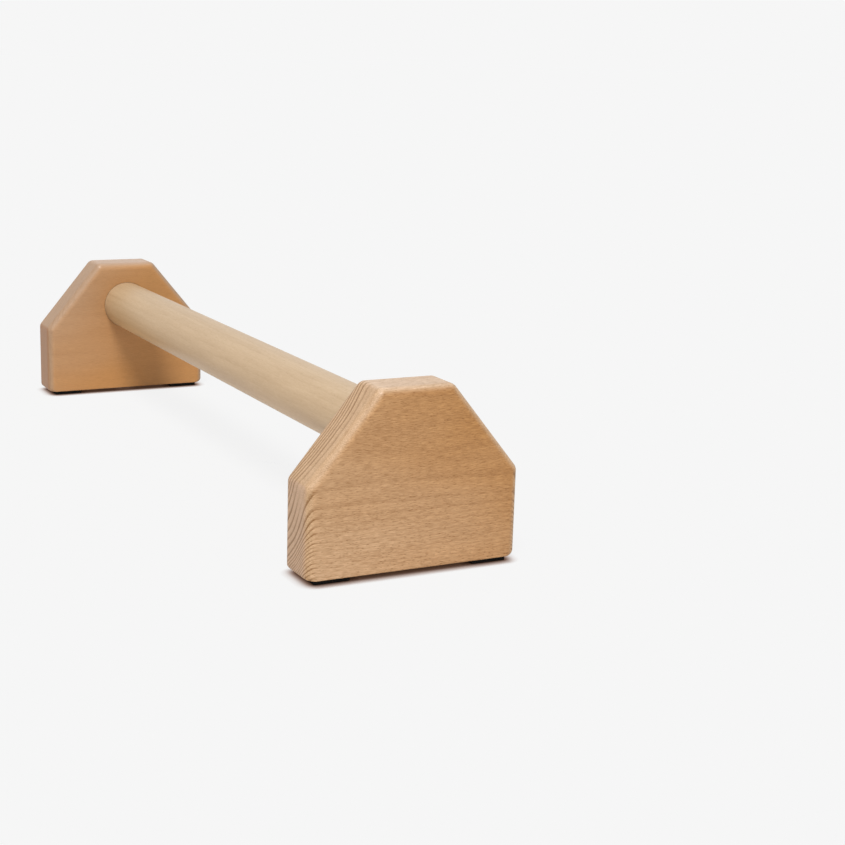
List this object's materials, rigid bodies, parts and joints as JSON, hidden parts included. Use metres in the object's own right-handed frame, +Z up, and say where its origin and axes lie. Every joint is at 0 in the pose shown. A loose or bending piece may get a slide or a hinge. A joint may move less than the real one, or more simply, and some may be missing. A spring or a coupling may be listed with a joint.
{
  "type": "parallette bar",
  "caption": "Low wooden parallette: a round grip bar set into two house-shaped end blocks with rounded edges, standing on four black rubber pads.",
  "frame": {"origin": "on the floor, under the middle of the grip bar", "axes": "+X along the grip bar, +Y across the end blocks, +Z up"},
  "size_m": [0.6, 0.1424, 0.1155],
  "materials": {
    "bar_wood": "sanded pale beech, lightly oiled",
    "block_wood": "sanded steamed beech, lightly oiled",
    "pad_rubber": "matt black",
    "adhesive_film": "translucent film",
    "wood_glue": "dried, yellowish",
    "zinc_steel": "zinc plated"
  },
  "bodies": {
    "root": {"grip_bar": "bar_wood", "left_end_block": "block_wood", "right_end_block": "block_wood", "left_front_pad": "pad_rubber", "left_rear_pad": "pad_rubber", "right_front_pad": "pad_rubber", "right_rear_pad": "pad_rubber", "left_front_pad_tape": "adhesive_film", "left_rear_pad_tape": "adhesive_film", "right_front_pad_tape": "adhesive_film", "right_rear_pad_tape": "adhesive_film", "left_glue_line": "wood_glue", "right_glue_line": "wood_glue", "left_lock_screw": "zinc_steel", "right_lock_screw": "zinc_steel"}
  },
  "joints": []
}
